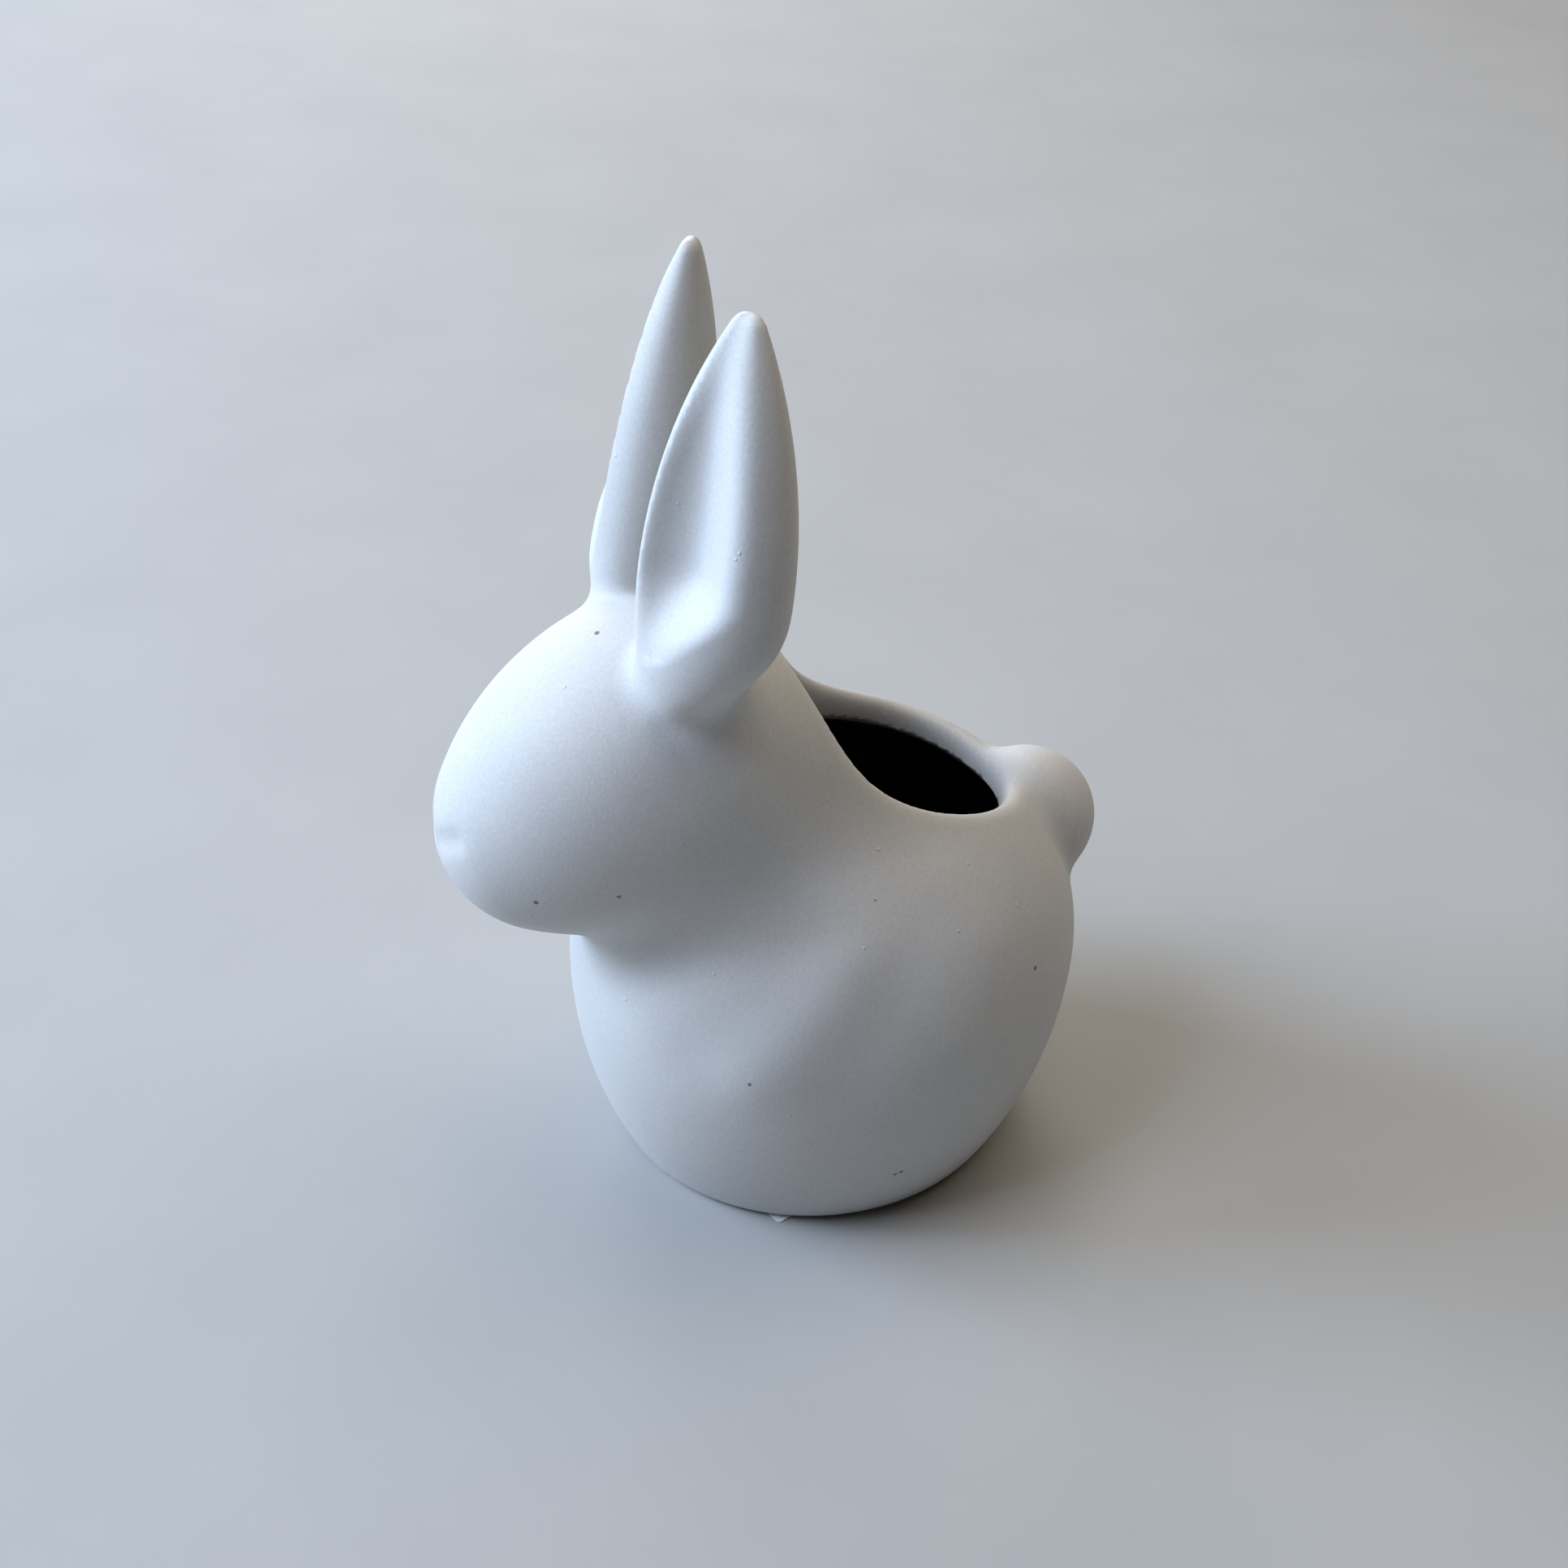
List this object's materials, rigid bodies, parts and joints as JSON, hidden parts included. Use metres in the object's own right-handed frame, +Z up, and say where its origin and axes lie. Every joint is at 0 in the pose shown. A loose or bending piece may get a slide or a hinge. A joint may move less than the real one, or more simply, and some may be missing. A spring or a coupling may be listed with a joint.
{
  "type": "ceramic rabbit pot",
  "caption": "Small hollow rabbit of matte white ceramic, sitting, with upright ears, a round tail and an oval opening in its back.",
  "frame": {"origin": "centre of the face it rests on, under the body", "axes": "+Z up, the rabbit faces -Y, its left side is +X"},
  "size_m": [0.0542, 0.0784, 0.1099],
  "materials": {
    "white_bisque": "matte, unglazed, fine grain",
    "dark_glaze": "dark glaze inside the pot",
    "label_paper": "blank white sticker"
  },
  "bodies": {
    "root": {"body_shell": "white_bisque", "head_shell": "white_bisque", "ear_left": "white_bisque", "ear_right": "white_bisque", "tail": "white_bisque", "neck_slip": "white_bisque", "ear_left_slip": "white_bisque", "ear_right_slip": "white_bisque", "tail_slip": "white_bisque", "inner_glaze": "dark_glaze", "base_label": "label_paper"}
  },
  "joints": []
}
